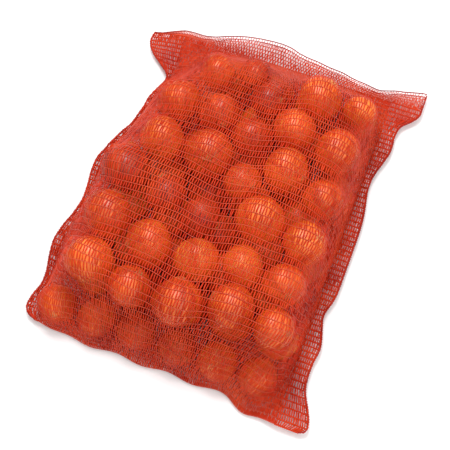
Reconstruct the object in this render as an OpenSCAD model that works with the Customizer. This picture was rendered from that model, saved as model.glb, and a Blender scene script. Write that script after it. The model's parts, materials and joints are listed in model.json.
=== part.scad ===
// A knitted net produce bag lying on its back, filled with two layers of onions.
// X runs across the bag, Y from the folded end to the open mouth, Z up.
// The origin is on the resting face, under the middle of the bag.

/* [Net] */
// Thickness of one layer of net
net_t = 1.2; // [0.8:0.1:1.6]
// Flat width of the bag at its mouth
mouth_w = 400; // [390:1:420]
// Distance from the origin to the folded end
fold_y = -246; // [-256:1:-244]
// Distance from the origin to the neck, where the two lips meet
neck_y = 232; // [230:1:240]
// Distance from the origin to the middle of the mouth edge
mouth_y = 261; // [258:1:270]
// Height of the side margins and the mouth over the table
edge_z = 9; // [7:0.5:10]
// Width of the flat margin of net outside the onions on the right
margin_w = 19; // [16:1:22]
// Diameter of the sewn side seams
seam_d = 3.2; // [2:0.1:4]
// Distance between two stitch rows of the knit
row_pitch = 8.5; // [7:0.5:10]
// Diameter of the knitted cord along each lip
selvedge_d = 1.8; // [1.2:0.1:2.4]

/* [Onions] */
// Usual diameter of the lower layer's onions
onion_d = 60; // [56:0.5:60.5]
// Diameter of the small onions along the fold
small_d = 52; // [46:1:53]
// Greatest difference in diameter within the lower layer
onion_spread = 2.5; // [0:0.5:3]
// Free space between neighbouring pieces
gap = 0.4; // [0.3:0.05:0.6]

/* [Hidden] */

NET = [0.84, 0.20, 0.11];
CORD = [0.72, 0.10, 0.08];
SKIN = [0.80, 0.46, 0.18];

// ---- Plan outline ------------------------------------------------------

// The bag narrows beside the mouth and flares again into two flat ears.
waist_y = 158;
ear_y = 178;

function bump(y, centre, reach) = exp(-pow((y - centre) / reach, 2));
function ramp(t) = let (s = min(max(t, 0), 1)) s * s * (3 - 2 * s);

// Where the onions push the net out to, on the left and on the right.
function left_fill(y) = -mouth_w / 2 + 12 + 36 * bump(min(y, waist_y), waist_y, 85);
function right_fill(y) = mouth_w / 2 - 44;

// The side seams.
function left_edge(y) = -mouth_w / 2 + 2 + 42 * bump(y, waist_y, y < waist_y ? 85 : 26);
function right_edge(y) = right_fill(y) + margin_w
    - 9 * bump(y, 98, 38)
    + 20 * bump(y, fold_y, 28)
    + 25 * ramp((y - ear_y) / 50);

// The mouth edge waves, and its left corner is pulled back.
function mouth_edge(x) = mouth_y + 11 * cos(360 * (x + 25) / 275)
    - 35 * pow(max(0, -x - 145) / 55, 2);
lip_left = -176;
lip_right = mouth_w / 2 - 2;

// ---- Onions ------------------------------------------------------------

// A repeatable fraction from 0 to 1 for item i and use k.
function chance(i, k) = let (s = sin(i * 127.1 + k * 311.7) * 43758.5453) s - floor(s);

// Lower layer: rows that start at the left and at the right side in turn.
lower_rows = 8;
lower_pitch = onion_d + onion_spread / 2 + gap;
lower_row_pitch = lower_pitch * 0.877;
small_pitch = small_d + onion_spread / 2 + 1.6;
wall = 4;
function lower_y(j) = j == 0 ? fold_y + small_d / 2 + 6
    : fold_y + small_d + onion_d / 2 + 7 + (j - 1) * lower_row_pitch;
function lower_row(j) = let (
        y = lower_y(j),
        d = j == 0 ? small_d : onion_d,
        pitch = j == 0 ? small_pitch : lower_pitch,
        room = right_fill(y) - left_fill(y) - 2 * wall,
        count = floor(room / pitch),
        start = j % 2 == 0 ? left_fill(y) + wall : right_fill(y) - wall - count * pitch
    ) [for (i = [0 : count - 1]) [
        start + (i + 0.5) * pitch,
        y,
        d + onion_spread * (chance(10 * j + i, 1) - 0.5)
    ]];

// Upper layer, from the fold to the mouth: [across, along, diameter] of each onion.
upper_start = [
    [-126, -165, 64], [-66, -176, 56], [0, -176, 66], [64, -160, 62], [118, -168, 54],
    [-124, -100, 66], [-66, -118, 64], [-5, -114, 60], [56, -100, 56], [108, -110, 56],
    [-132, -34, 66], [-70, -46, 54], [-18, -62, 54], [50, -38, 66], [118, -48, 58],
    [-98, 28, 62], [-36, 24, 66], [18, -2, 52], [66, 36, 62], [122, 22, 56],
    [-108, 94, 58], [-50, 92, 56], [6, 72, 54], [50, 102, 60], [114, 90, 64],
    [-72, 154, 52], [-26, 166, 46], [8, 132, 50], [68, 164, 60], [124, 160, 46]];

// Onions push each other apart in plan until none is under another of its layer.
function clip(v, low, high) = min(max(v, low), high);
function push(p, q) = let (
        away = [p[0] - q[0], p[1] - q[1]],
        lack = 1.02 * (p[2] + q[2]) / 2 - norm(away)
    ) lack > 0 && norm(away) > 0 ? away / norm(away) * lack / 2 : [0, 0];
function total(list, i = 0) = i == len(list) ? [0, 0] : list[i] + total(list, i + 1);
function total_of(counts, n) = n == 0 ? 0 : counts[n - 1] + total_of(counts, n - 1);
function spread(list, inset, neck_gap, turns) = turns == 0 ? list : spread([for (p = list)
    let (r = p[2] / 2, move = total([for (q = list) push(p, q)]), y = p[1] + move[1]) [
        clip(p[0] + move[0], left_fill(y) + inset + r, right_fill(y) - inset - r),
        clip(y, fold_y + 2 * inset + r, neck_y - neck_gap - 1.15 * r),
        p[2]
    ]], inset, neck_gap, turns - 1);

// Each onion drops until it touches the back panel or an onion already in place.
// A placed onion is [x, y, z, radius].
function drop(p, placed) = let (r = p[2] / 2) [
    p[0], p[1],
    max(concat([net_t + gap + r], [for (q = placed)
        let (reach = r + q[3] + gap, away = norm([p[0] - q[0], p[1] - q[1]]))
        if (away < reach) q[2] + sqrt(reach * reach - away * away)])),
    r];
function settle(list, placed, i = 0) = i == len(list) ? placed
    : settle(list, concat(placed, [drop(list[i], placed)]), i + 1);

lower_counts = [for (j = [0 : lower_rows - 1]) len(lower_row(j))];
lower_start = [for (j = [0 : lower_rows - 1]) each lower_row(j)];
lower_all = settle(spread(lower_start, wall - 1, 12, 60), []);
all_placed = settle(spread(upper_start, 9, 38, 60), lower_all);
upper_placed = [for (i = [len(lower_all) : len(all_placed) - 1]) all_placed[i]];

// Half outline of a bulb inside a sphere of radius r, with its root plate and dry neck.
function bulb_outline(r) = concat(
    [[0, -0.94], [0.15, -0.93], [0.17, -0.87]] * r,
    [for (a = [-65 : 13 : 52]) [cos(a), 0.9 * sin(a)] * r],
    [[0.36, 0.84], [0.16, 0.92], [0.1, 0.985], [0, 0.985]] * r);

module onion(place, index) {
    color(SKIN)
        translate([place[0], place[1], place[2]])
            rotate([0, 35 + 90 * chance(index, 4), 360 * chance(index, 5)])
                rotate_extrude($fn = 64)
                    polygon(bulb_outline(place[3]));
}

module lower_onions_row(number) {
    before = total_of(lower_counts, number - 1);
    for (i = [before : before + lower_counts[number - 1] - 1])
        onion(lower_all[i], 100 + i);
}

module upper_onion(number) {
    onion(upper_placed[number - 1], number);
}

// ---- Net panels --------------------------------------------------------

// A closed sheet of even thickness over a grid of points, grid[row][column].
module sheet(grid) {
    rows = len(grid) - 1;
    columns = len(grid[0]) - 1;
    per_skin = (columns + 1) * (rows + 1);
    function at(i, j, skin) = skin * per_skin + j * (columns + 1) + i;
    function two(a, b, c, d) = [[a, b, c], [a, c, d]];
    function lift(i, j) = let (
            across = grid[j][min(i + 1, columns)] - grid[j][max(i - 1, 0)],
            along = grid[min(j + 1, rows)][i] - grid[max(j - 1, 0)][i],
            normal = cross(across, along)
        ) normal / norm(normal) * net_t;
    points = concat(
        [for (j = [0 : rows]) for (i = [0 : columns]) grid[j][i] + lift(i, j)],
        [for (j = [0 : rows]) for (i = [0 : columns]) grid[j][i]]);
    skins = [for (j = [0 : rows - 1]) for (i = [0 : columns - 1]) each concat(
        two(at(i, j, 0), at(i, j + 1, 0), at(i + 1, j + 1, 0), at(i + 1, j, 0)),
        two(at(i, j, 1), at(i + 1, j, 1), at(i + 1, j + 1, 1), at(i, j + 1, 1)))];
    ends = [for (i = [0 : columns - 1]) each concat(
        two(at(i, 0, 0), at(i + 1, 0, 0), at(i + 1, 0, 1), at(i, 0, 1)),
        two(at(i + 1, rows, 0), at(i, rows, 0), at(i, rows, 1), at(i + 1, rows, 1)))];
    sides = [for (j = [0 : rows - 1]) each concat(
        two(at(0, j + 1, 0), at(0, j, 0), at(0, j, 1), at(0, j + 1, 1)),
        two(at(columns, j, 0), at(columns, j + 1, 0), at(columns, j + 1, 1), at(columns, j, 1)))];
    polyhedron(points, concat(skins, ends, sides), convexity = 10);
}

// Height of the taut net over the onions: the highest of wide caps that rest on them.
cap_radius = 70;
cap_slack = 2;
function draped(x, y) = max([for (q = all_placed)
    q[2] + q[3] + cap_slack - (pow(x - q[0], 2) + pow(y - q[1], 2)) / (2 * cap_radius)]);

// Height that the net can reach near its edges: round at the sides, the fold and the
// corners, and a straight slope down to the neck.
side_run = 34;
side_rise = 130;
neck_slope = 2.1;
function inset_from_edge(x, y) = norm([
    max(0, 1 - min(x - left_fill(y), right_fill(y) - x) / side_run),
    max(0, 1 - (y - fold_y) / side_run)]);
front_foot = edge_z + net_t + gap;
function front_z(x, y) = max(front_foot, min(
    draped(x, y),
    front_foot + side_rise * sqrt(max(0, 1 - pow(inset_from_edge(x, y), 2))),
    front_foot + neck_slope * (neck_y - y)));

// Columns crowd towards both sides, and rows towards the fold, where the net is steepest.
panel_columns = 34;
panel_rows = 38;
function front_x(i, y) = let (u = i / panel_columns, s = u - sin(360 * u) / 8.5)
    left_fill(y) + s * (right_fill(y) - left_fill(y));
function front_y(j) = fold_y + pow(j / panel_rows, 1.3) * (neck_y - fold_y);

module front_panel() {
    color(NET)
        sheet([for (j = [0 : panel_rows]) let (y = front_y(j))
            [for (i = [0 : panel_columns]) let (x = front_x(i, y)) [x, y, front_z(x, y)]]]);
}

// The back panel lies flat on the table and turns up to the margins at its rim.
rim_w = 22;
module back_panel() {
    inner = neck_y - fold_y - 2 * rim_w;
    ys = concat([fold_y], [for (k = [0 : 36]) fold_y + rim_w + k * inner / 36], [neck_y]);
    last = len(ys) - 1;
    color(NET)
        sheet([for (j = [0 : last]) let (y = ys[j], l = left_fill(y), r = right_fill(y),
                turned_up = j == 0 || j == last ? edge_z : 0)
            [[l, y, edge_z], [l + rim_w, y, turned_up], [r - rim_w, y, turned_up], [r, y, edge_z]]]);
}

// ---- Margins, seams and mouth ------------------------------------------

hinge_gap = 2;
lip_gap = 3.2;
margin_top = 150;
margin_z = edge_z + net_t / 2;

// A flat piece of doubled net between two side curves.
module strip(from_y, to_y, left, right, thickness, z) {
    count = ceil((to_y - from_y) / (row_pitch / 2));
    ys = [for (k = [0 : count]) from_y + (to_y - from_y) * k / count];
    translate([0, 0, z])
        linear_extrude(thickness)
            polygon(concat(
                [for (y = ys) [right(y), y]],
                [for (k = [count : -1 : 0]) [left(ys[k]), ys[k]]]));
}

// An overlocked seam: a run of short round lengths, with a thicker knot on each stitch row.
module seam(from_y, to_y, edge, z) {
    count = ceil((to_y - from_y) / row_pitch);
    step = (to_y - from_y) / count;
    for (k = [0 : count - 1])
        let (y = from_y + k * step, a = [edge(y), y], b = [edge(y + step), y + step],
             turn = atan2(b[1] - a[1], b[0] - a[0]))
            translate([a[0], a[1], z])
                rotate([0, 0, turn])
                    rotate([0, 90, 0]) {
                        cylinder(h = norm(b - a) + 0.6, d = seam_d * 0.7, $fn = 16);
                        cylinder(h = step / 3, d = seam_d, $fn = 16);
                    }
}

// A cord along the mouth edge, in straight lengths.
module selvedge(from_x, to_x, back, z) {
    count = 24;
    step = (to_x - from_x) / count;
    function place(x) = [x, mouth_edge(x) - back];
    for (k = [0 : count - 1])
        let (a = place(from_x + k * step), b = place(from_x + (k + 1) * step),
             turn = atan2(b[1] - a[1], b[0] - a[0]))
            translate([a[0], a[1], z])
                rotate([0, 0, turn])
                    rotate([0, 90, 0]) {
                        cylinder(h = norm(b - a) + 0.2, d = selvedge_d, $fn = 16);
                        cylinder(h = 2, d = selvedge_d * 1.2, $fn = 16);
                    }
}

seam_clear = seam_d / 2 + gap;

// How far a margin ends from the middle of its seam, across the bag. It is more where the
// seam runs aslant.
function beside_seam(edge, y) = seam_clear * norm([1, (edge(y + 1) - edge(y - 1)) / 2]) + 0.3;

module left_margin() {
    color(NET)
        strip(fold_y, neck_y - hinge_gap,
            function(y) left_edge(y) + beside_seam(function(v) left_edge(v), y),
            function(y) left_fill(y) - gap,
            net_t, edge_z);
}

module left_seam() {
    color(CORD)
        seam(fold_y, neck_y - hinge_gap - seam_d, function(y) left_edge(y), margin_z);
}

module right_shoulder() {
    color(NET)
        strip(margin_top + hinge_gap, neck_y - hinge_gap,
            function(y) right_fill(y) + gap,
            function(y) right_edge(y) - beside_seam(function(v) right_edge(v), y),
            net_t, edge_z);
}

module right_shoulder_seam() {
    color(CORD)
        seam(margin_top + hinge_gap, neck_y - hinge_gap - seam_d,
            function(y) right_edge(y), margin_z);
}

module right_margin() {
    color(NET)
        strip(fold_y, margin_top,
            function(y) right_fill(y) + hinge_gap,
            function(y) right_edge(y) - beside_seam(function(v) right_edge(v), y),
            net_t, edge_z);
}

module right_seam() {
    color(CORD)
        seam(fold_y, margin_top - seam_d, function(y) right_edge(y), margin_z);
}

// A lip is flat from the neck to its selvedge; back is how far its edge stays behind.
module lip(from_x, thickness, z, back) {
    count = 24;
    xs = [for (k = [0 : count]) from_x + (lip_right - seam_clear - from_x) * k / count];
    translate([0, 0, z])
        linear_extrude(thickness)
            polygon(concat(
                [[xs[0], neck_y + lip_gap], [xs[count], neck_y + lip_gap]],
                [for (k = [count : -1 : 0]) [xs[k], mouth_edge(xs[k]) - back]]));
}

lip_t = net_t / 2;
back_lip_z = edge_z - 0.2;
front_lip_z = back_lip_z + lip_t + gap;
front_set_back = 6;
front_lip_left = lip_left + 10;
selvedge_right = lip_right - seam_clear - 2;

module back_lip() {
    color(NET)
        lip(lip_left, lip_t, back_lip_z, selvedge_d);
}

module front_lip() {
    color(NET)
        lip(front_lip_left, lip_t, front_lip_z, front_set_back + selvedge_d);
}

module back_selvedge() {
    color(CORD)
        selvedge(lip_left, selvedge_right, 0, back_lip_z + lip_t / 2);
}

module front_selvedge() {
    color(CORD)
        selvedge(front_lip_left, selvedge_right, front_set_back, front_lip_z + selvedge_d * 0.6);
}

// The side seams run on to the corners of the mouth.
module left_ear_seam() {
    color(CORD)
        translate([lip_left - seam_clear, neck_y + lip_gap, margin_z])
            rotate([-90, 0, 0])
                cylinder(h = mouth_edge(lip_left) - neck_y - lip_gap, d = seam_d, $fn = 24);
}

module right_ear_seam() {
    color(CORD)
        seam(neck_y + lip_gap, mouth_edge(lip_right) - seam_d,
            function(y) lip_right + seam_clear, margin_z);
}

front_panel();
back_panel();
left_margin();
left_seam();
right_shoulder();
right_shoulder_seam();
right_margin();
right_seam();
back_lip();
front_lip();
back_selvedge();
front_selvedge();
left_ear_seam();
right_ear_seam();
lower_onions_row(1);  // lower_onions_row_1
lower_onions_row(2);  // lower_onions_row_2
lower_onions_row(3);  // lower_onions_row_3
lower_onions_row(4);  // lower_onions_row_4
lower_onions_row(5);  // lower_onions_row_5
lower_onions_row(6);  // lower_onions_row_6
lower_onions_row(7);  // lower_onions_row_7
lower_onions_row(8);  // lower_onions_row_8
upper_onion(1);  // upper_onion_1
upper_onion(2);  // upper_onion_2
upper_onion(3);  // upper_onion_3
upper_onion(4);  // upper_onion_4
upper_onion(5);  // upper_onion_5
upper_onion(6);  // upper_onion_6
upper_onion(7);  // upper_onion_7
upper_onion(8);  // upper_onion_8
upper_onion(9);  // upper_onion_9
upper_onion(10);  // upper_onion_10
upper_onion(11);  // upper_onion_11
upper_onion(12);  // upper_onion_12
upper_onion(13);  // upper_onion_13
upper_onion(14);  // upper_onion_14
upper_onion(15);  // upper_onion_15
upper_onion(16);  // upper_onion_16
upper_onion(17);  // upper_onion_17
upper_onion(18);  // upper_onion_18
upper_onion(19);  // upper_onion_19
upper_onion(20);  // upper_onion_20
upper_onion(21);  // upper_onion_21
upper_onion(22);  // upper_onion_22
upper_onion(23);  // upper_onion_23
upper_onion(24);  // upper_onion_24
upper_onion(25);  // upper_onion_25
upper_onion(26);  // upper_onion_26
upper_onion(27);  // upper_onion_27
upper_onion(28);  // upper_onion_28
upper_onion(29);  // upper_onion_29
upper_onion(30);  // upper_onion_30
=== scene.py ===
"""A knitted net bag of onions, lying on its back: net, seams, onions, light and camera.

All lengths are in metres, in the CAD frame: X across the bag, Y from the folded end to
the mouth, Z up. Places come from the CAD nodes. The sizes below are those of the knit
and of how the net settles over the onions.
"""

import json
import math

import bmesh
import bpy
import numpy as np
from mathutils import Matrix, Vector


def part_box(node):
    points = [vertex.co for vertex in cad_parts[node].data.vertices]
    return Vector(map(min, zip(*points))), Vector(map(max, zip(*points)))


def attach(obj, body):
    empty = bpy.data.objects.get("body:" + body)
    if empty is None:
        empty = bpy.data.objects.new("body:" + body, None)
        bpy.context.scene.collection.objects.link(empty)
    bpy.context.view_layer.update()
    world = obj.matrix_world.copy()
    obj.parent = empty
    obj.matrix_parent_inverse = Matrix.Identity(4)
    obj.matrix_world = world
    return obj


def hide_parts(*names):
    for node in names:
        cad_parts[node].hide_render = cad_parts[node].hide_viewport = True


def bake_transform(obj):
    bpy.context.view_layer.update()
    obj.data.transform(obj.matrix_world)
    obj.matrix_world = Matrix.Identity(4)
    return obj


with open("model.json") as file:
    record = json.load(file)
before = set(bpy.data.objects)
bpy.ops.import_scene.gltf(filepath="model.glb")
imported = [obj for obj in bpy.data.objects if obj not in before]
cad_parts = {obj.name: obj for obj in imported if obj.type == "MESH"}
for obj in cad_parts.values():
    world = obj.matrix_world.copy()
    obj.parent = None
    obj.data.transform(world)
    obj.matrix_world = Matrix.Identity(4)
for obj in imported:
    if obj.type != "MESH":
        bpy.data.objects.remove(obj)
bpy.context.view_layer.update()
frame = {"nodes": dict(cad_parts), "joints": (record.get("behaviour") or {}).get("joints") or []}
MM = 0.001
random = np.random.default_rng(11)

# ---- Sizes ---------------------------------------------------------------

TAPE_PITCH = 3.4 * MM        # distance between inlay tapes along a stitch row
TAPE_WIDE = 1.55 * MM        # a tape's width half way between two stitch rows
TAPE_NARROW = 0.9 * MM       # its width where a stitch row gathers it
TAPE_THICK = 0.34 * MM
TAPE_SHARES = np.array([0.0, 0.3, 0.7, 1.0])    # where along a tape its rings of points are
TAPE_PROFILE = np.array([TAPE_NARROW, TAPE_WIDE, TAPE_WIDE, TAPE_NARROW]) / 2
MARGIN_PITCH = 2.9 * MM      # the tapes' pitch in the flat margins
LIP_PITCH = 4.0 * MM         # and in the lips
CHAIN_RADIUS = 0.46 * MM     # the chain cord of a stitch row
GATHERED = 2.4               # how much thicker a chain cord is in a flat margin
PUFF = 1.1 * MM              # how far the tapes arch out between a margin's gathered rows
CORNER = 18 * MM             # radius of the bag's corners at its fold
FRONT_ROWS = 64              # stitch rows from the neck to the fold, above and below
BACK_ROWS = 64
LIP_ROWS = 6                 # stitch rows from the neck to the back lip's edge
LIP_COLUMNS = 120            # columns of the lips' grids
EAR_COLUMN = 12              # the left ear's tip ends at this one of them
COLUMNS = 60                 # columns of the drape's grid
MARGIN_COLUMNS = 6           # columns of the margins' grids
NET_CLEAR = 0.7 * MM         # the net's middle stays this far outside the onions
LAYER = 1.0 * MM             # distance between the two layers of net in a flat margin
SEAM_RADIUS = 0.8 * MM
LOOP_PITCH = 3.2 * MM        # distance between the overlock stitches of a seam
LOOP_RADIUS = 0.36 * MM      # the overlock thread
SELVEDGE_RADIUS = 0.85 * MM
STITCH_REACH = 4.6 * MM      # how far the overlock stitches reach into the margin
STITCH_SLANT = 1.4 * MM      # and how far they slant along it
RIB_DEPTH = 0.0065           # an onion's ribs, as a share of its radius
NECK_FOLDS = 0.035           # and the folds of its dry neck
SETTLE_TURNS = 420           # steps in which the net settles over the onions
LID_CLEAR = 12 * MM          # how far above the CAD's net the net starts to settle
SAG = 0.05 * MM              # how far it sinks between the onions at each step
TABLE_CLEAR = 0.6 * MM       # the net's middle stays this far above the table
FOLD_HEIGHT = 4.5 * MM       # height of the fold's drooping edge
FOLD_DROOP = 35 * MM         # it comes down to that over this length at each end
FOLD_WAVE = 2.4 * MM         # how far that edge waves in and out
FOLD_WAVE_LENGTH = 70 * MM
BEND_LENGTH = 60 * MM        # the right margin's second piece spans this length below its shoulder

# ---- Reading the CAD -----------------------------------------------------


def points_of(node):
    """The vertices of a CAD node, as an array."""
    vertices = frame["nodes"][node].data.vertices
    flat = np.zeros(len(vertices) * 3)
    vertices.foreach_get("co", flat)
    return flat.reshape(-1, 3)


def solids_of(node):
    """The vertices of each separate solid in a CAD node."""
    mesh = frame["nodes"][node].data
    points, place = np.unique(np.round(points_of(node) / (0.01 * MM)), axis=0,
                              return_inverse=True)
    edges = np.zeros(len(mesh.edges) * 2, int)
    mesh.edges.foreach_get("vertices", edges)
    edges = place.ravel()[edges].reshape(-1, 2)
    label = np.arange(len(points))
    while True:
        low = np.minimum(label[edges[:, 0]], label[edges[:, 1]])
        fresh = label.copy()
        np.minimum.at(fresh, edges[:, 0], low)
        np.minimum.at(fresh, edges[:, 1], low)
        if (fresh == label).all():
            break
        label = fresh
    return [points[label == k] * 0.01 * MM for k in np.unique(label)]


def centre_line(nodes, along, across, step=6 * MM):
    """A CAD cord's middle line, as sorted places on the along axis and their across values."""
    points = np.vstack([points_of(n) for n in nodes])
    bins = np.round(points[:, along] / step).astype(int)
    middle = [points[bins == b].mean(0) for b in np.unique(bins)]
    return (np.array([m[along] for m in middle]), np.array([m[across] for m in middle]))


def edge_line(node, side):
    """The x of a flat CAD strip's left (min) or right (max) edge at each of its y values."""
    points = np.round(points_of(node) / (0.05 * MM)) * 0.05 * MM
    ys = np.unique(points[:, 1])
    return ys, np.array([side(points[points[:, 1] == y, 0]) for y in ys])


class Bulb:
    """One onion: centre, unit axis towards its neck, and radius, measured on its CAD solid."""

    def __init__(self, points):
        middle = points.mean(0)
        values, vectors = np.linalg.eigh(np.cov((points - middle).T))
        odd = 0 if values[1] - values[0] > values[2] - values[1] else 2
        axis = vectors[:, odd]
        along = (points - middle) @ axis
        away = np.linalg.norm(points - middle - np.outer(along, axis), axis=1)
        self.radius = away.max()
        equator = along[away > 0.995 * self.radius].mean()
        self.centre = middle + equator * axis
        low, high = along.min() - equator, along.max() - equator
        self.axis = axis if high > -low else -axis


def bulb_reach(cosine):
    """A bulb's surface radius, as a share of its greatest, at an angle from its neck."""
    angle = np.arccos(np.clip(cosine, -1, 1))
    body = 1 / np.sqrt(np.sin(angle) ** 2 + (np.cos(angle) / 0.9) ** 2)
    shoulder = 0.03 * np.exp(-(angle / 0.55) ** 2)
    neck = 0.055 * np.exp(-(angle / 0.16) ** 4)
    root = -0.03 * np.exp(-((math.pi - angle) / 0.2) ** 2)
    return body + shoulder + neck + root


bulb_nodes = sorted((n for n in frame["nodes"] if "onion" in n),
                    key=lambda n: (n.rsplit("_", 1)[0], int(n.rsplit("_", 1)[1])))
bulbs = {node: [Bulb(points) for points in solids_of(node)] for node in bulb_nodes}
every_bulb = [bulb for group in bulbs.values() for bulb in group]

back_low, back_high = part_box("back_panel")
hinges = {joint["name"]: Vector(joint["pos_m"]) for joint in frame["joints"]}
NECK_Y = hinges["mouth_fold"].y
NECK_Z = hinges["mouth_fold"].z
FOLD_Y = back_low.y
RIGHT_FILL = back_high.x
BEND_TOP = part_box("right_margin")[1].y + 1 * MM
BEND_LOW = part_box("right_margin")[1].y - BEND_LENGTH
left_fill_line = edge_line("left_margin", np.max)
left_seam_line = centre_line(["left_seam"], 1, 0)
right_seam_line = centre_line(["right_seam", "right_shoulder_seam", "right_ear_seam"], 1, 0)
RIGHT_CORNER = right_seam_line[1][-1]
back_mouth_line = centre_line(["back_selvedge"], 0, 1)
front_mouth_line = centre_line(["front_selvedge"], 0, 1)


def corner(y, radius):
    """How far the rounded corner at the fold pulls a side in, at y."""
    rise = np.clip(radius - (y - FOLD_Y), 0, radius)
    return radius - np.sqrt(radius**2 - rise**2)


def smooth(t):
    """A soft step from 0 to 1, as t goes from 0 to 1."""
    t = np.clip(t, 0, 1)
    return t * t * (3 - 2 * t)


# Soft waves of the edges, each as (middle, half width, height) in millimetres.
LEFT_WAVES = ((226, 22, -5), (128, 20, -6), (72, 24, 7), (0, 40, 3))
RIGHT_WAVES = ((203, 13, -6), (158, 22, 3.5), (-103, 20, -7), (-148, 14, 3), (-222, 18, 6.5))
MOUTH_WAVES = ((-125, 34, -7.5), (16, 20, -4.5), (76, 16, 3), (134, 16, -4.5))


def waves(t, shapes):
    """The sum of an edge's waves at the places t along it."""
    return sum(height * MM * np.exp(-((t - middle * MM) / (width * MM)) ** 2)
               for middle, width, height in shapes)


def sway(y):
    """How far the slack left side swings in and out round the onions."""
    low, high = smooth((y - FOLD_Y) / (60 * MM)), smooth((60 * MM - y) / (60 * MM))
    swing = -5.5 * MM * np.cos(2 * math.pi * (y + 125 * MM) / (128 * MM)) * low * high
    return swing + waves(y, LEFT_WAVES)


def slack(x, y):
    """How far slack net hangs out past the fold at its right end, and the left ear's tip
    the same way. At its left end the fold is drawn in."""
    low, high = smooth((-170 * MM - y) / (75 * MM)), smooth((y - 180 * MM) / (50 * MM))
    fold = 13 * smooth((x - 80 * MM) / (40 * MM)) - 7 * smooth((-130 * MM - x) / (60 * MM))
    tip = 11 * np.clip((-150 * MM - x) / (50 * MM), 0, 1) ** 1.5
    return (fold * low + tip * high) * MM


def left_fill(y):
    """The x at which the left margin meets the filled bag."""
    return np.interp(y, *left_fill_line) + corner(y, 0.7 * CORNER) + 0.7 * sway(y)


def right_fill(y):
    """The x at which the right margin meets the filled bag: the same at every y."""
    return RIGHT_FILL + 0 * np.asarray(y, float)


def left_seam(y):
    return np.interp(y, *left_seam_line) + corner(y, CORNER) + sway(y)


def right_seam(y):
    straight = np.interp(y, *right_seam_line) - corner(y, 0.5 * CORNER)
    return straight + waves(y, RIGHT_WAVES)


# ---- Draping the net -----------------------------------------------------


def outside_bulbs(points, clear):
    """Moves points that are inside an onion, or nearer than clear, out to its surface."""
    flat = points.reshape(-1, 3)
    for bulb in every_bulb:
        reach = bulb.radius + 2 * MM + clear
        near = np.nonzero((np.abs(flat - bulb.centre) < reach).all(1))[0]
        if not len(near):
            continue
        offset = flat[near] - bulb.centre
        length = np.linalg.norm(offset, axis=1)
        surface = bulb.radius * bulb_reach(offset @ bulb.axis / length) + clear
        inside = length < surface
        flat[near[inside]] = bulb.centre + offset[inside] * (surface / length)[inside, None]
    return flat.reshape(points.shape)


def lid_path(count, rise, over):
    """Points 0..count along a lid that rises, runs across and comes down, evenly spaced on
    it: how far across each one is and how high, as shares of the whole."""
    s = np.linspace(0, 1, count + 1) * (2 * rise + over) - rise
    run = np.clip(s / over, 0, 1)
    height = np.clip(np.minimum((s + rise) / rise, (over + rise - s) / rise), 0, 1)
    return run, height


def start_grid():
    """The net before it settles: held well above the onions, flat under them."""
    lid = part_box("front_panel")[1].z + LID_CLEAR
    run, side_height = lid_path(COLUMNS, lid, RIGHT_FILL - float(left_fill(0)))
    share = np.linspace(0, 1, FRONT_ROWS + 1)
    end_height = np.clip(np.minimum(share / 0.13, (1 - share) / 0.2), 0, 1)
    rows = []
    for y, height in zip(NECK_Y + share * (FOLD_Y - NECK_Y), end_height):
        x = left_fill(y) + run * (RIGHT_FILL - left_fill(y))
        z = NECK_Z + LAYER / 2 + np.minimum(side_height, height) * (lid - NECK_Z)
        rows.append(np.stack([x, y - slack(x, y), z], 1))
    for y in np.linspace(FOLD_Y, NECK_Y, BACK_ROWS + 1)[1:]:
        x = left_fill(y) + run * (RIGHT_FILL - left_fill(y))
        flat = np.minimum(side_height * 4, min(y - FOLD_Y, NECK_Y - y) / (20 * MM))
        flat = np.minimum(1, flat)
        z = (NECK_Z - LAYER / 2) * (1 - flat) + 0.7 * MM * flat
        rows.append(np.stack([x, y - slack(x, y), z], 1))
    for row, y in ((0, NECK_Y), (FRONT_ROWS, FOLD_Y), (-1, NECK_Y)):
        x = np.linspace(rows[row][0, 0], rows[row][-1, 0], COLUMNS + 1)
        rows[row][:, 0], rows[row][:, 1] = x, y - slack(x, y)
    return np.array(rows)


def pin_fold(grid):
    """Holds the fold: a flattened, gently waving edge that droops between its ends."""
    row = grid[FRONT_ROWS]
    x = row[1:-1, 0]
    inset = np.minimum(x - row[0, 0], row[-1, 0] - x)
    droop = np.minimum(1, inset / FOLD_DROOP)
    turn = 2 * math.pi * (x + 30 * MM) / FOLD_WAVE_LENGTH
    row[1:-1, 1] = FOLD_Y - slack(x, FOLD_Y) + droop * FOLD_WAVE * (0.6 - np.cos(turn))
    row[1:-1, 2] = NECK_Z - droop * (NECK_Z - FOLD_HEIGHT)


def settle(grid, turns):
    """Pulls the net taut over the onions, with a little sag between them: each point moves
    towards the middle of its neighbours and down, then back out of the onions and the table."""
    under = np.arange(len(grid)) > FRONT_ROWS
    sag = np.where(under, 0.0, SAG)[1:-1, None]
    for _ in range(turns):
        inner = grid[1:-1, 1:-1]
        mean = (grid[:-2, 1:-1] + grid[2:, 1:-1] + grid[1:-1, :-2] + grid[1:-1, 2:]) / 4
        fresh = inner + 0.6 * (mean - inner)
        fresh[:, :, 2] -= sag
        grid[1:-1, 1:-1] = outside_bulbs(fresh, NET_CLEAR)
        grid[:, :, 2] = np.maximum(grid[:, :, 2], TABLE_CLEAR)
        pin_fold(grid)


def even_out(lines, amount):
    """Respaces each line of points, [line, point, xyz], evenly along its own length, by an
    amount from 0 to 1, with neighbouring lines kept in step."""
    steps = np.linalg.norm(np.diff(lines, axis=1), axis=2)
    length = np.concatenate([np.zeros((len(lines), 1)), np.cumsum(steps, axis=1)], axis=1)
    index = np.arange(lines.shape[1])
    even = np.array([np.interp(np.linspace(0, l[-1], len(l)), l, index) for l in length])
    even[:, 0], even[:, -1] = 0, index[-1]
    for _ in range(10):
        even[1:-1] = (even[:-2] + 2 * even[1:-1] + even[2:]) / 4
    for line, at in zip(lines, index + amount * (even - index)):
        line[:] = np.stack([np.interp(at, index, line[:, k]) for k in range(3)], 1)


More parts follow.
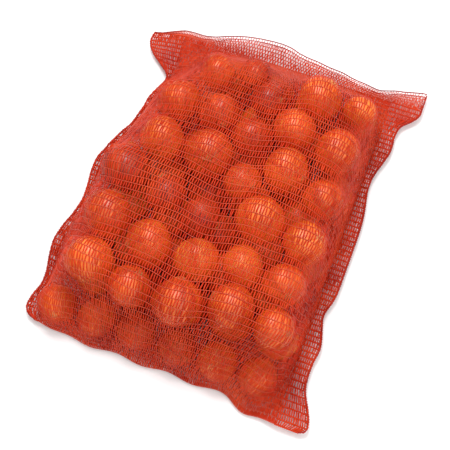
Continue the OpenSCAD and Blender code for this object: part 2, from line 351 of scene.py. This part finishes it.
def straighten(rows):
    """Slides the stitches along their rows, until the middle column runs straight."""
    middle = rows[:, COLUMNS // 2, 0]
    slides = np.linspace(middle[0], middle[-1], len(rows)) - middle
    index = np.arange(COLUMNS + 1)
    share = index / COLUMNS
    for row, slide in zip(rows, slides):
        stitch = np.linalg.norm(np.diff(row, axis=0), axis=1).mean()
        at = index + 4 * share * (1 - share) * slide / stitch
        row[:] = np.stack([np.interp(at, index, row[:, k]) for k in range(3)], 1)


def drape():
    """The net as a grid [row, column, xyz]: over the onions from the neck, round the fold,
    and back under them to the neck, with its stitches evenly spaced."""
    grid = start_grid()
    settle(grid, SETTLE_TURNS)
    for _ in range(2):
        even_out(grid, 0.9)
        even_out(grid[:FRONT_ROWS + 1].swapaxes(0, 1), 0.7)
        even_out(grid[FRONT_ROWS:].swapaxes(0, 1), 0.7)
    even_out(grid, 0.9)
    straighten(grid[:FRONT_ROWS + 1])
    straighten(grid[FRONT_ROWS:])
    grid[1:-1, 1:-1] = outside_bulbs(grid[1:-1, 1:-1].copy(), NET_CLEAR)
    return grid


def sample(grid, row, column):
    """Smooth (Catmull-Rom) values of a grid at fractional rows and columns."""
    def weights(t):
        return np.stack([-t + 2 * t**2 - t**3, 2 - 5 * t**2 + 3 * t**3,
                         t + 4 * t**2 - 3 * t**3, -t**2 + t**3]) / 2
    padded = np.pad(grid, ((1, 2), (1, 2), (0, 0)), mode="reflect", reflect_type="odd")
    j = np.clip(np.floor(row).astype(int), 0, grid.shape[0] - 1)
    i = np.clip(np.floor(column).astype(int), 0, grid.shape[1] - 1)
    wj, wi = weights(row - j), weights(column - i)
    return sum(wj[a][..., None] * wi[b][..., None] * padded[j + a, i + b]
               for a in range(4) for b in range(4))


class Sheet:
    """A grid that can be sampled for points and for unit normals."""

    def __init__(self, grid):
        self.grid = grid
        self.wave = random.normal(0, 1, (len(grid), 6))    # how each row wavers

    def point(self, row, column):
        return sample(self.grid, row, column)

    def axes(self, row, column):
        """Point, unit vector along the row, and unit normal."""
        small = 0.05
        last_row, last_column = self.grid.shape[0] - 1, self.grid.shape[1] - 1
        across = (self.point(row, np.minimum(column + small, last_column))
                  - self.point(row, np.maximum(column - small, 0)))
        along = (self.point(np.minimum(row + small, last_row), column)
                 - self.point(np.maximum(row - small, 0), column))
        normal = np.cross(along, across)
        return self.point(row, column), unit(across), unit(normal)


def unit(v):
    return v / np.maximum(np.linalg.norm(v, axis=-1, keepdims=True), 1e-12)


# ---- Mesh building -------------------------------------------------------


class Mesh:
    """Collects quads from rings of points, with a value per point for the materials."""

    def __init__(self):
        self.points, self.quads, self.values, self.count = [], [], [], 0

    def tubes(self, rings, values):
        """rings is [tube, ring, corner, xyz]; each tube is closed at both ends.
        values is [tube, ring, corner, 3], kept as the grain attribute."""
        tubes, length, corners, _ = rings.shape
        index = self.count + np.arange(tubes * length * corners).reshape(tubes, length, corners)
        turned = np.roll(index, -1, axis=2)
        walls = np.stack([index[:, :-1], turned[:, :-1], turned[:, 1:], index[:, 1:]], -1)
        self.quads.append(walls.reshape(-1, 4))
        for ring, order in ((0, (3, 2, 1, 0)), (length - 1, (0, 1, 2, 3))):
            if corners == 4:
                self.quads.append(index[:, ring][:, order])
            else:
                self.close(index[:, ring], ring == 0)
        self.points.append(rings.reshape(-1, 3))
        self.values.append(values.reshape(-1, 3))
        self.count += tubes * length * corners

    def close(self, ring, first):
        """Closes an even-cornered end with a strip of quads."""
        corners = ring.shape[1]
        for k in range(corners // 2 - 1):
            quad = ring[:, [k, k + 1, corners - 2 - k, corners - 1 - k]]
            self.quads.append(quad[:, ::-1] if first else quad)

    def build(self, name, material):
        """The collected quads as an object, smooth shaded."""
        points = np.vstack(self.points)
        quads = np.vstack(self.quads)
        mesh = bpy.data.meshes.new(name)
        mesh.vertices.add(len(points))
        mesh.vertices.foreach_set("co", points.astype(np.float32).ravel())
        mesh.loops.add(quads.size)
        mesh.loops.foreach_set("vertex_index", quads.astype(np.int32).ravel())
        mesh.polygons.add(len(quads))
        mesh.polygons.foreach_set("loop_start", np.arange(0, quads.size, 4, dtype=np.int32))
        mesh.polygons.foreach_set("use_smooth", np.full(len(quads), True))
        mesh.update(calc_edges=True)
        grain = mesh.attributes.new("grain", "FLOAT_VECTOR", "POINT")
        grain.data.foreach_set("vector", np.vstack(self.values).astype(np.float32).ravel())
        mesh.materials.append(material)
        thing = bpy.data.objects.new(name, mesh)
        bpy.context.scene.collection.objects.link(thing)
        return thing


def cord(mesh, line, normal, radius, corners=6, kind=0):
    """A closed round cord along a line of points, [point, xyz], with a radius at each. Its
    kind, added to the grain's third value, is 1 for the net's chain cords, painted a paler
    pink as a painted sheen."""
    tangent = unit(np.gradient(line, axis=0))
    side = unit(np.cross(tangent, normal))
    up = np.cross(side, tangent)
    angle = np.arange(corners) * 2 * math.pi / corners
    radius = np.broadcast_to(radius, len(line))[:, None, None]
    ring = line[:, None] + radius * (np.cos(angle)[None, :, None] * side[:, None]
                                     + np.sin(angle)[None, :, None] * up[:, None])
    along = np.concatenate([[0], np.cumsum(np.linalg.norm(np.diff(line, axis=0), axis=1))])
    value = np.stack(np.broadcast_arrays(np.cos(angle)[None], along[:, None] / TAPE_PITCH,
                                         kind + random.random()), -1)
    mesh.tubes(ring[None], value[None])


def wavering(sheet, row, t, waver):
    """A row that wavers by a fraction of its pitch, but not at the sheet's own edges, at
    places t along it, which go from 0 to 1."""
    if waver == 0 or row in (0, FRONT_ROWS, len(sheet.grid) - 1):
        return row + 0 * t
    a, b, c, d, e, f = sheet.wave[row]
    drift = (a * np.sin(2 * math.pi * (t * (2 + abs(b)) + c))
             + d * np.sin(2 * math.pi * (t * (5 + abs(e)) + f)))
    return row + 0.4 * waver * t * (1 - t) * drift


def tape_rings(point, normal, width):
    """Rings of four points for flat tapes along lines of points, [tape, point, xyz], each
    twisted a little. Width is relative to the usual one."""
    along = unit(np.gradient(point, axis=1))
    twist = random.normal(0, 0.3, len(point))[:, None, None]
    side = unit(unit(np.cross(normal, along)) + twist * normal)
    up = np.cross(along, side) * TAPE_THICK / 2
    spread = width * random.normal(1, 0.12, (len(point), 1))
    side = side * (TAPE_PROFILE * spread)[..., None]
    return np.stack([point + side + up, point + side - up,
                     point - side - up, point - side + up], 2)


def knit(mesh, sheet, first, last, columns, pitch, tapes=None, clear=None, waver=0.0,
         width=(1.0, 1.0), chain=1.0, puff=0.0, joined=False):
    """Knits the rows first..last of a sheet, over a range of its columns: a chain cord on
    each row, and tapes from row to row between them. Without a count of tapes, each row
    gets as many as its length and the pitch call for. With puff, two rows are drawn
    together: the tapes arch out between them by that much, and stand in line from row to
    row. Without it they are staggered like bricks, and the chain cords get a paler pink
    painted on as a painted sheen. Clear is the distance kept from the onions, waver how
    much the rows waver, and width the tapes' relative width from the first row to the
    last. A net joined to another leaves the chain cord on their common row to that one."""
    start, end = columns
    widths = np.linspace(*width, last - first + 1)

    def shifted(row, column):
        return wavering(sheet, row, (column - start) / (end - start), waver)

    def count_on(row):
        if tapes:
            return tapes
        line = sheet.point(np.full(13, float(row)), np.linspace(start, end, 13))
        length = np.linalg.norm(np.diff(line, axis=0), axis=1).sum()
        return max(2, int(round(length / pitch)))

    def place(row, column):
        point, _, normal = sheet.axes(row, column)
        return (point if clear is None else outside_bulbs(point, clear)), normal

    for row in range(first + joined, last + 1):
        column = np.linspace(start, end, 2 * count_on(row) + 1)
        point, normal = place(shifted(row, column), column)
        bead = 1 + 0.22 * np.cos(np.arange(len(column)) * math.pi)
        # kind 1 marks the chain cords that get the painted sheen
        cord(mesh, point, normal, CHAIN_RADIUS * chain * bead, corners=4, kind=int(puff == 0))
    for row in range(first, last):
        number = count_on(row + 0.5)
        step = (end - start) / number
        stagger = 0.5 if puff else (0.75 if row % 2 else 0.25)
        middle = start + step * (np.arange(number) + stagger + random.normal(0, 0.1, number))
        lean = np.where(np.arange(number) % 2 == 0, 0.18, -0.18) * step
        column = np.clip(middle[:, None] + lean[:, None] * (TAPE_SHARES - 0.5), start, end)
        low, high = shifted(row, column), shifted(row + 1, column)
        point, normal = place(low + (high - low) * TAPE_SHARES, column)
        arch = 4 * puff * TAPE_SHARES * (1 - TAPE_SHARES)
        ring = tape_rings(point + normal * arch[:, None], normal, widths[row - first])
        shape = ring.shape[:3]
        mesh.tubes(ring, np.stack([
            np.broadcast_to(np.array([1.0, 1.0, -1.0, -1.0]), shape),
            np.broadcast_to(TAPE_SHARES[None, :, None] * 2, shape),
            np.broadcast_to(random.random(number)[:, None, None], shape)], -1))


# ---- Materials -----------------------------------------------------------


def new_material(name):
    material = bpy.data.materials.new(name)
    material.use_nodes = True
    material.node_tree.nodes.clear()
    return material, material.node_tree


def feed(tree, made, inputs):
    """Gives a node's inputs their values, and links those whose value is an output."""
    for key, value in inputs:
        if isinstance(value, bpy.types.NodeSocket):
            tree.links.new(value, made.inputs[key])
        else:
            made.inputs[key].default_value = value


def node(tree, kind, **inputs):
    """A new node. Each name of an input has _ for a space."""
    made = tree.nodes.new(kind)
    feed(tree, made, [(key.replace("_", " "), value) for key, value in inputs.items()])
    return made


def maths(tree, operation, *inputs):
    made = tree.nodes.new("ShaderNodeMath")
    made.operation = operation
    feed(tree, made, enumerate(inputs))
    return made.outputs["Value"]


def attribute(tree, name, output):
    made = tree.nodes.new("ShaderNodeAttribute")
    made.attribute_name = name
    return made.outputs[output]


def noise(tree, place, scale, detail, roughness=0.5):
    made = node(tree, "ShaderNodeTexNoise", Vector=place, Scale=scale, Detail=detail,
                Roughness=roughness)
    return made.outputs["Fac"]


def ramp(tree, value, stops):
    """A colour ramp over a value, with its stops as (value, colour)."""
    made = node(tree, "ShaderNodeValToRGB", Fac=value)
    elements = made.color_ramp.elements
    while len(elements) < len(stops):
        elements.new(0.5)
    for element, (place, colour) in zip(elements, stops):
        element.position = place
        element.color = (*colour, 1)
    return made.outputs["Color"]


def mixed(tree, share, first, second):
    """A colour between two others."""
    made = tree.nodes.new("ShaderNodeMix")
    made.data_type = "RGBA"
    feed(tree, made, (("Factor", share), ("A", first), ("B", second)))
    return made.outputs["Result"]


def net_material(name, dark, plain, bright, pale=0.0, roughness=0.42, clear_light=0.33):
    """Knitted plastic tape: fine lengthwise fibres, light that shines through, a soft gloss.
    Pale is how far the chain cords are mixed towards a paler pink, a painted sheen."""
    material, tree = new_material(name)
    grain = attribute(tree, "grain", "Vector")
    stretched = node(tree, "ShaderNodeMapping", Vector=grain, Scale=(5.0, 0.7, 37.0))
    fibre = noise(tree, stretched.outputs["Vector"], 2.2, 4.0, 0.6)
    place = tree.nodes.new("ShaderNodeTexCoord").outputs["Object"]
    patch = maths(tree, "MULTIPLY", noise(tree, place, 22.0, 3.0), 0.45)
    shade = maths(tree, "MULTIPLY_ADD", fibre, 0.55, patch)
    colour = ramp(tree, shade, [(0.32, dark), (0.5, plain), (0.68, bright)])
    kind = node(tree, "ShaderNodeSeparateXYZ", Vector=grain).outputs["Z"]
    # Painted sheen: the chain cords are mixed towards a paler pink that stands in for light
    # glancing off them.
    share = maths(tree, "MULTIPLY", maths(tree, "GREATER_THAN", kind, 1.0), pale)
    colour = mixed(tree, share, colour, SHEEN_PAINTED_CORD)
    bump = node(tree, "ShaderNodeBump", Strength=0.5, Distance=0.0002, Height=fibre)
    surface = node(tree, "ShaderNodeBsdfPrincipled", Base_Color=colour, Roughness=roughness,
                   IOR=1.36, Specular_IOR_Level=0.35, Normal=bump.outputs["Normal"])
    through = node(tree, "ShaderNodeBsdfTranslucent", Color=colour)
    blend = node(tree, "ShaderNodeMixShader", Fac=clear_light)
    feed(tree, blend, ((1, surface.outputs["BSDF"]), (2, through.outputs["BSDF"])))
    node(tree, "ShaderNodeOutputMaterial", Surface=blend.outputs["Shader"])
    return material


def onion_material():
    """Dry papery skin: fibres from neck to root, patches of tone, straw neck, pale roots."""
    material, tree = new_material("onion_skin")
    skin = attribute(tree, "skin", "Vector")
    drawn = node(tree, "ShaderNodeMapping", Vector=skin, Scale=(1.0, 1.0, 0.1))
    fibre = noise(tree, drawn.outputs["Vector"], 26.0, 5.0, 0.62)
    wide = noise(tree, drawn.outputs["Vector"], 4.5, 3.0)
    shade = attribute(tree, "tone", "Fac")
    for pattern, weight in ((noise(tree, skin, 2.0, 2.0), 0.22), (wide, 0.36), (fibre, 0.42)):
        shade = maths(tree, "MULTIPLY_ADD", pattern, weight, shade)
    body = ramp(tree, shade, [(0.28, (0.27, 0.020, 0.004)), (0.42, (0.57, 0.070, 0.006)),
                              (0.55, (0.85, 0.165, 0.013)), (0.74, (0.97, 0.37, 0.06))])
    straw = ramp(tree, fibre, [(0.3, (0.24, 0.07, 0.018)), (0.55, (0.60, 0.24, 0.06)),
                               (0.75, (0.82, 0.46, 0.17))])
    down = node(tree, "ShaderNodeSeparateXYZ", Vector=skin).outputs["Z"]
    ends = ramp(tree, maths(tree, "PINGPONG", down, 0.5),
                [(0.0, (1, 1, 1)), (0.035, (0.75, 0.75, 0.75)), (0.085, (0, 0, 0))])
    gloss = node(tree, "ShaderNodeMapRange", Value=wide, To_Min=0.3, To_Max=0.55)
    bump = node(tree, "ShaderNodeBump", Strength=0.35, Distance=0.0006, Height=fibre)
    surface = node(tree, "ShaderNodeBsdfPrincipled", Base_Color=mixed(tree, ends, body, straw),
                   Roughness=gloss.outputs["Result"], Normal=bump.outputs["Normal"],
                   Subsurface_Weight=0.06, Subsurface_Radius=(0.006, 0.003, 0.001),
                   Coat_Weight=0.12, Coat_Roughness=0.22)
    node(tree, "ShaderNodeOutputMaterial", Surface=surface.outputs["BSDF"])
    return material


# The paler pink of the net's chain cords: a painted sheen.
SHEEN_PAINTED_CORD = (0.95, 0.30, 0.20, 1)
NET = net_material("net", (0.46, 0.010, 0.002), (0.76, 0.043, 0.008), (0.94, 0.12, 0.028),
                   pale=0.32)
THREAD = net_material("seam_thread", (0.20, 0.006, 0.005), (0.42, 0.016, 0.008),
                      (0.70, 0.04, 0.015), roughness=0.5, clear_light=0.15)
CORD = net_material("selvedge_cord", (0.12, 0.006, 0.006), (0.28, 0.014, 0.012),
                    (0.50, 0.035, 0.02), roughness=0.5, clear_light=0.1)
SKIN = onion_material()

# ---- Onions --------------------------------------------------------------


def bulb_mesh(bulb, detail):
    """Points [ring, corner, xyz] and skin values of one onion, with ribs, a crumpled dry
    neck and a root. Onions seen from near get the detail."""
    around, down = (80, 44) if detail else (48, 26)
    theta = np.arange(around) * 2 * math.pi / around
    share = np.arange(down + 1) / down
    phi = math.pi * (share - 0.055 * np.sin(2 * math.pi * share) * 1.2)
    t, p = np.meshgrid(theta, phi)
    reach = bulb_reach(np.cos(p))
    phase = random.random(6) * 2 * math.pi
    ribs = sum(np.sin(k * t + f) / k for k, f in zip((3, 5, 8, 13, 21, 34), phase))
    reach = reach * (1 + RIB_DEPTH * (ribs - 1.2) * np.sin(p) ** 1.5)
    crumple = np.sin(5 * t + phase[0]) + 0.6 * np.sin(9 * t + phase[1] + 6 * p)
    reach = reach * (1 + NECK_FOLDS * crumple * np.exp(-((p - 0.2) / 0.12) ** 2))
    reach[0] = reach[0].mean()
    local = np.stack([np.sin(p) * np.cos(t), np.sin(p) * np.sin(t), np.cos(p)], -1)
    local = local * reach[..., None] * bulb.radius * 0.992
    side = unit(np.cross(bulb.axis, [0.3, 0.2, 0.93]))
    other = np.cross(bulb.axis, side)
    points = bulb.centre + local @ np.stack([side, other, bulb.axis])
    skin = np.stack([np.cos(t) + phase[2], np.sin(t) + phase[3], p / math.pi], -1)
    return points, skin


def make_onions(node_name, group):
    """All the onions of one CAD node, as one piece. Those on top have nodes of their own."""
    detail = len(group) == 1
    points, quads, skins, tones, count = [], [], [], [], 0
    for bulb in group:
        grid, skin = bulb_mesh(bulb, detail)
        rows, around, _ = grid.shape
        index = count + np.arange(rows * around).reshape(rows, around)
        turned = np.roll(index, -1, axis=1)
        quads.append(np.stack([index[:-1], index[1:], turned[1:], turned[:-1]], -1).reshape(-1, 4))
        points.append(grid.reshape(-1, 3))
        skins.append(skin.reshape(-1, 3))
        tones.append(np.full(rows * around, random.normal(0.0, 0.06)))
        count += rows * around
    mesh = bpy.data.meshes.new(node_name + "_skin")
    mesh.from_pydata(np.vstack(points).tolist(), [], np.vstack(quads).tolist())
    mesh.attributes.new("skin", "FLOAT_VECTOR", "POINT").data.foreach_set(
        "vector", np.vstack(skins).astype(np.float32).ravel())
    mesh.attributes.new("tone", "FLOAT", "POINT").data.foreach_set(
        "value", np.concatenate(tones).astype(np.float32))
    weld_poles(mesh)
    mesh.shade_smooth()
    mesh.materials.append(SKIN)
    thing = bpy.data.objects.new(node_name + "_skin", mesh)
    bpy.context.scene.collection.objects.link(thing)
    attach(thing, "bag")
    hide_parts(node_name)


def weld_poles(mesh):
    """Joins the points that meet at each onion's neck and root, so that it is closed."""
    work = bmesh.new()
    work.from_mesh(mesh)
    bmesh.ops.remove_doubles(work, verts=work.verts, dist=0.002 * MM)
    work.to_mesh(mesh)
    work.free()


for name, group in bulbs.items():
    make_onions(name, group)

# ---- Net -----------------------------------------------------------------


def add_piece(mesh, name, material, replaced, body=None):
    """Makes a piece that stands for CAD nodes; without a body, it is left unattached."""
    piece = mesh.build(name, material)
    if body:
        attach(piece, body)
    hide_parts(*replaced)
    return piece


def ripple(y):
    """Height of the slack waves along the flat margins."""
    return 0.5 * MM * (np.sin(y / (4.3 * MM)) + 0.8 * np.sin(y / (11.7 * MM) + 1))


def margin_sheet(left, right):
    """A flat margin's two layers, as one sheet that wraps round the fold like the net does.
    left and right give the x of its two long edges."""
    share = np.linspace(0, 1, MARGIN_COLUMNS + 1)
    at_seam = share if right is right_seam else 1 - share
    front = np.linspace(NECK_Y, FOLD_Y, FRONT_ROWS + 1)
    back = np.linspace(FOLD_Y, NECK_Y, BACK_ROWS + 1)[1:]
    rows = []
    for y, side in [(y, 1) for y in front] + [(y, -1) for y in back]:
        x = left(y) + share * (right(y) - left(y))
        at_fold = min(1, (y - FOLD_Y) / (6 * MM))
        wave = ripple(y) * at_seam * min(1, (NECK_Y - y) / (15 * MM))
        z = NECK_Z + side * LAYER / 2 * at_fold * (1 - 0.4 * at_seam) + wave
        rows.append(np.stack([x, y - slack(x, y), z], 1))
    return Sheet(np.array(rows))


def front_row(y):
    """The stitch row nearest to y on the front."""
    return round((NECK_Y - y) / (NECK_Y - FOLD_Y) * FRONT_ROWS)


def back_row(y):
    """The stitch row nearest to y on the back."""
    return FRONT_ROWS + round((y - FOLD_Y) / (NECK_Y - FOLD_Y) * BACK_ROWS)


def lip_sheet(mouth_line, side, count):
    """One lip, from its wavy mouth edge to the neck's hinge line."""
    left, right = float(left_seam(NECK_Y)), RIGHT_CORNER
    x = np.linspace(left, right, LIP_COLUMNS + 1)
    line_x = np.concatenate([[left], mouth_line[0], [right]])
    line_y = np.concatenate([[NECK_Y - 8 * MM], mouth_line[1], [mouth_line[1][-1]]])
    edge = np.interp(x, line_x, line_y) - 0.5 * slack(x, NECK_Y) + waves(x, MOUTH_WAVES)
    start = NECK_Y - slack(x, NECK_Y)
    rows = []
    for share in np.linspace(1, 0, count + 1):
        y = start + share * np.maximum(edge - start, 0.8 * MM)
        wave = 0.9 * MM * np.sin(x / (17 * MM) + 1) * share
        rows.append(np.stack([x, y, NECK_Z + side * LAYER / 2 + wave], 1))
    return Sheet(np.array(rows))


def make_net():
    """The net over and under the onions, in six pieces."""
    net = Sheet(drape())
    length = np.linalg.norm(np.diff(net.grid[FRONT_ROWS // 2], axis=0), axis=1).sum()
    tapes = int(round(length / TAPE_PITCH))
    third, fold, end = FRONT_ROWS // 3, FRONT_ROWS, FRONT_ROWS + BACK_ROWS
    for name, replaced, first, last in (
            ("front_net_mouth_end", "front_panel", 0, third),
            ("front_net_middle", "front_panel", third, 2 * third),
            ("front_net_fold_end", "front_panel", 2 * third, fold),
            ("back_net_fold_end", "back_panel", fold, fold + third),
            ("back_net_middle", "back_panel", fold + third, fold + 2 * third),
            ("back_net_mouth_end", "back_panel", fold + 2 * third, end)):
        mesh = Mesh()
        knit(mesh, net, first, last, (0, COLUMNS), TAPE_PITCH, tapes, NET_CLEAR * 0.8, 1.0,
             joined=first > 0)
        add_piece(mesh, name, NET, [replaced], "bag")


def make_margins():
    """The flat doubled margins. The right one is made in three pieces: its shoulder, a stretch
    below that, and the rest down to the fold.
    """
    flat = {"columns": (0, MARGIN_COLUMNS), "pitch": MARGIN_PITCH, "chain": GATHERED,
            "puff": PUFF}
    mesh = Mesh()
    knit(mesh, margin_sheet(left_seam, left_fill), 0, FRONT_ROWS + BACK_ROWS, **flat)
    add_piece(mesh, "left_margin_net", NET, ["left_margin"], "bag")
    right = margin_sheet(right_fill, right_seam)
    parts = (("right_shoulder_net", "right_shoulder", NECK_Y, BEND_TOP),
             ("right_margin_bend_net", "right_margin", BEND_TOP, BEND_LOW),
             ("right_margin_net", "right_margin", BEND_LOW, FOLD_Y))
    for name, replaced, top, bottom in parts:
        mesh = Mesh()
        ranges = [(front_row(top), front_row(bottom)), (back_row(bottom), back_row(top))]
        if bottom == FOLD_Y:
            ranges = [(front_row(top), back_row(top))]
        for first, last in ranges:
            knit(mesh, right, first, last, **flat)
        piece = add_piece(mesh, name, NET, [replaced])
        if name == "right_shoulder_net":
            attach(piece, "bag")
        elif name == "right_margin_bend_net":
            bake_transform(piece)
        else:
            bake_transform(piece)


def lip_piece(name, sheets, columns, replaced, thick=1.0, material=CORD):
    """A stretch of one or both lips, with its selvedge cord along the mouth edge."""
    net, edge = Mesh(), Mesh()
    for sheet in sheets:
        rows = sheet.grid.shape[0] - 1
        knit(net, sheet, 0, rows, columns, LIP_PITCH, width=(0.6, 1.3))
        column = np.linspace(*columns, (columns[1] - columns[0]) * 2 + 1)
        line, _, normal = sheet.axes(np.zeros_like(column), column)
        twist = 1 + 0.1 * np.cos(np.arange(len(line)) * 2.4)
        cord(edge, line, normal, SELVEDGE_RADIUS * thick * twist)
    return (add_piece(net, name + "_net", NET, replaced[:1]),
            add_piece(edge, name + "_selvedge", material, replaced[1:]))


def make_lips():
    """The flat lips beyond the neck. The front one is made in two pieces that meet in its
    middle, and stays joined to the back one at both ears. The left ear's tip, of both lips,
    is a piece of its own."""
    back = lip_sheet(back_mouth_line, -1, LIP_ROWS)
    front = lip_sheet(front_mouth_line, 1, LIP_ROWS - 1)
    nodes = ["back_lip", "back_selvedge"]
    for piece in lip_piece("left_ear_tip", (back, front), (0, EAR_COLUMN), nodes):
        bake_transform(piece)
    for piece in lip_piece("back_lip", (back,), (EAR_COLUMN, LIP_COLUMNS), nodes):
        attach(piece, "mouth_band")
    nodes = ["front_lip", "front_selvedge"]
    left, middle, right = back.grid[0, EAR_COLUMN, 0], LIP_COLUMNS // 2, RIGHT_CORNER
    soft = {"thick": 0.65, "material": THREAD}
    for piece in lip_piece("front_lip_left", (front,), (EAR_COLUMN, middle), nodes, **soft):
        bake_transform(piece)
    for piece in lip_piece("front_lip_right", (front,), (middle, LIP_COLUMNS), nodes, **soft):
        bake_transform(piece)


# ---- Seams ---------------------------------------------------------------


def seam_mesh(line, inward):
    """An overlocked edge: a bumpy rolled core, a thread wound round it, and its stitches
    reaching inward over both faces of the margin."""
    mesh = Mesh()
    length = np.concatenate([[0], np.cumsum(np.linalg.norm(np.diff(line, axis=0), axis=1))])
    up = np.array([0, 0, 1.0])

    def at(s):
        return np.stack([np.interp(s, length, line[:, k]) for k in range(3)], -1)

    fine = np.arange(0, length[-1], 1.2 * MM)
    pitch = (NECK_Y - FOLD_Y) / FRONT_ROWS
    knots = 1 + 0.7 * np.maximum(0, np.cos(2 * math.pi * fine / pitch)) ** 2
    cord(mesh, at(fine), up, SEAM_RADIUS * knots * random.normal(1, 0.04, len(fine)))
    turn = np.arange(0, length[-1], LOOP_PITCH / 9)
    middle = at(turn)
    tangent = unit(np.gradient(middle, axis=0))
    side = np.cross(tangent, up)
    angle = 2 * math.pi * turn / LOOP_PITCH
    reach = SEAM_RADIUS * 1.25 * (1 + 0.2 * np.cos(2 * math.pi * turn / pitch) ** 2)
    coil = middle + reach[:, None] * (np.cos(angle)[:, None] * side
                                      + np.sin(angle)[:, None] * up)
    cord(mesh, coil, tangent, LOOP_RADIUS, corners=6)
    for face in (1, -1):
        starts = np.arange(LOOP_PITCH, length[-1] - LOOP_PITCH, LOOP_PITCH)
        for s in starts + random.normal(0, 0.3 * MM, len(starts)):
            root = at(s) + face * up * SEAM_RADIUS * 0.8
            slant = at(min(s + STITCH_SLANT, length[-1])) - at(s)
            tip = root + inward * STITCH_REACH + slant - face * up * 0.15 * MM
            curve = np.array([root, root * 0.6 + tip * 0.4 + face * up * 0.3 * MM, tip])
            cord(mesh, curve, up + 0.01, LOOP_RADIUS * 0.75, corners=4)
    return mesh


def seam_line(x_of, low, high):
    """Points of a seam between two heights along the bag, from low to high y."""
    y = np.linspace(low, high, max(3, int((high - low) / (3 * MM))))
    x = x_of(y)
    lift = ripple(y) * np.minimum(1, (NECK_Y - np.minimum(y, NECK_Y)) / (15 * MM))
    return np.stack([x, y - slack(x, y), NECK_Z + lift], 1)


def make_seams():
    """The overlocked seams, from the fold to the ears. The right one is split where its margin is.
    """
    tip, ear_end = NECK_Y - 12 * MM, right_seam_line[0][-1]
    for name, x_of, inward, low, high, replaced, body in (
            ("left_seam", left_seam, 1.0, FOLD_Y, tip, "left_seam", "bag"),
            ("left_ear", left_seam, 1.0, tip, NECK_Y + 1 * MM, "left_ear_seam", "bag"),
            ("right_seam", right_seam, -1.0, FOLD_Y, BEND_LOW, "right_seam", "right_margin"),
            ("right_seam_bend", right_seam, -1.0, BEND_LOW, BEND_TOP, "right_seam", None),
            ("right_shoulder", right_seam, -1.0, BEND_TOP, NECK_Y, "right_shoulder_seam", "bag"),
            ("right_ear", right_seam, -1.0, NECK_Y, ear_end, "right_ear_seam", "mouth_band")):
        mesh = seam_mesh(seam_line(x_of, low, high), np.array([inward, 0, 0]))
        piece = add_piece(mesh, name + "_overlock", THREAD, [replaced], body)
        if body is None:
            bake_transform(piece)


make_net()
make_margins()
make_lips()
make_seams()

# ---- Stage ---------------------------------------------------------------


def make_stage():
    """A pale floor, just under the bag."""
    bpy.ops.mesh.primitive_plane_add(size=8, location=(0, 0, -0.0002))
    floor = bpy.context.object
    floor.name = "floor"
    material, tree = new_material("pale_floor")
    surface = node(tree, "ShaderNodeBsdfPrincipled", Base_Color=(0.93, 0.93, 0.93, 1),
                   Roughness=0.9)
    node(tree, "ShaderNodeOutputMaterial", Surface=surface.outputs["BSDF"])
    floor.data.materials.append(material)


def make_light(name, place, aim, size, power):
    """A square area light. Its size is in metres and its power in watts."""
    light = bpy.data.lights.new(name, "AREA")
    light.size = size
    light.energy = power
    thing = bpy.data.objects.new(name, light)
    thing.location = place
    thing.rotation_euler = (Vector(aim) - Vector(place)).to_track_quat("-Z", "Y").to_euler()
    bpy.context.scene.collection.objects.link(thing)


def make_world(strength):
    world = bpy.data.worlds.new("studio")
    world.use_nodes = True
    world.node_tree.nodes["Background"].inputs["Color"].default_value = (1, 1, 1, 1)
    world.node_tree.nodes["Background"].inputs["Strength"].default_value = strength
    bpy.context.scene.world = world


def make_camera():
    """Looks down on the bag from its folded end, a little from its right."""
    azimuth, elevation, distance = math.radians(20.73), math.radians(65.95), 1.4
    target = Vector((9.2, -44.3, 50.0)) * MM
    back = Vector((math.sin(azimuth) * math.cos(elevation),
                   -math.cos(azimuth) * math.cos(elevation), math.sin(elevation)))
    camera = bpy.data.cameras.new("camera")
    camera.lens = 85.9
    camera.sensor_width = 36
    thing = bpy.data.objects.new("camera", camera)
    thing.location = target + back * distance
    thing.rotation_euler = (-back).to_track_quat("-Z", "Y").to_euler()
    bpy.context.scene.collection.objects.link(thing)
    bpy.context.scene.camera = thing


make_stage()
make_world(0.78)
make_light("key", (-0.35, 0.55, 1.6), (0, 0, 0.05), 0.8, 22)
make_light("fill", (1.2, -0.7, 1.3), (0, 0, 0.05), 1.5, 10)
make_camera()
bpy.context.scene.view_settings.view_transform = "Standard"
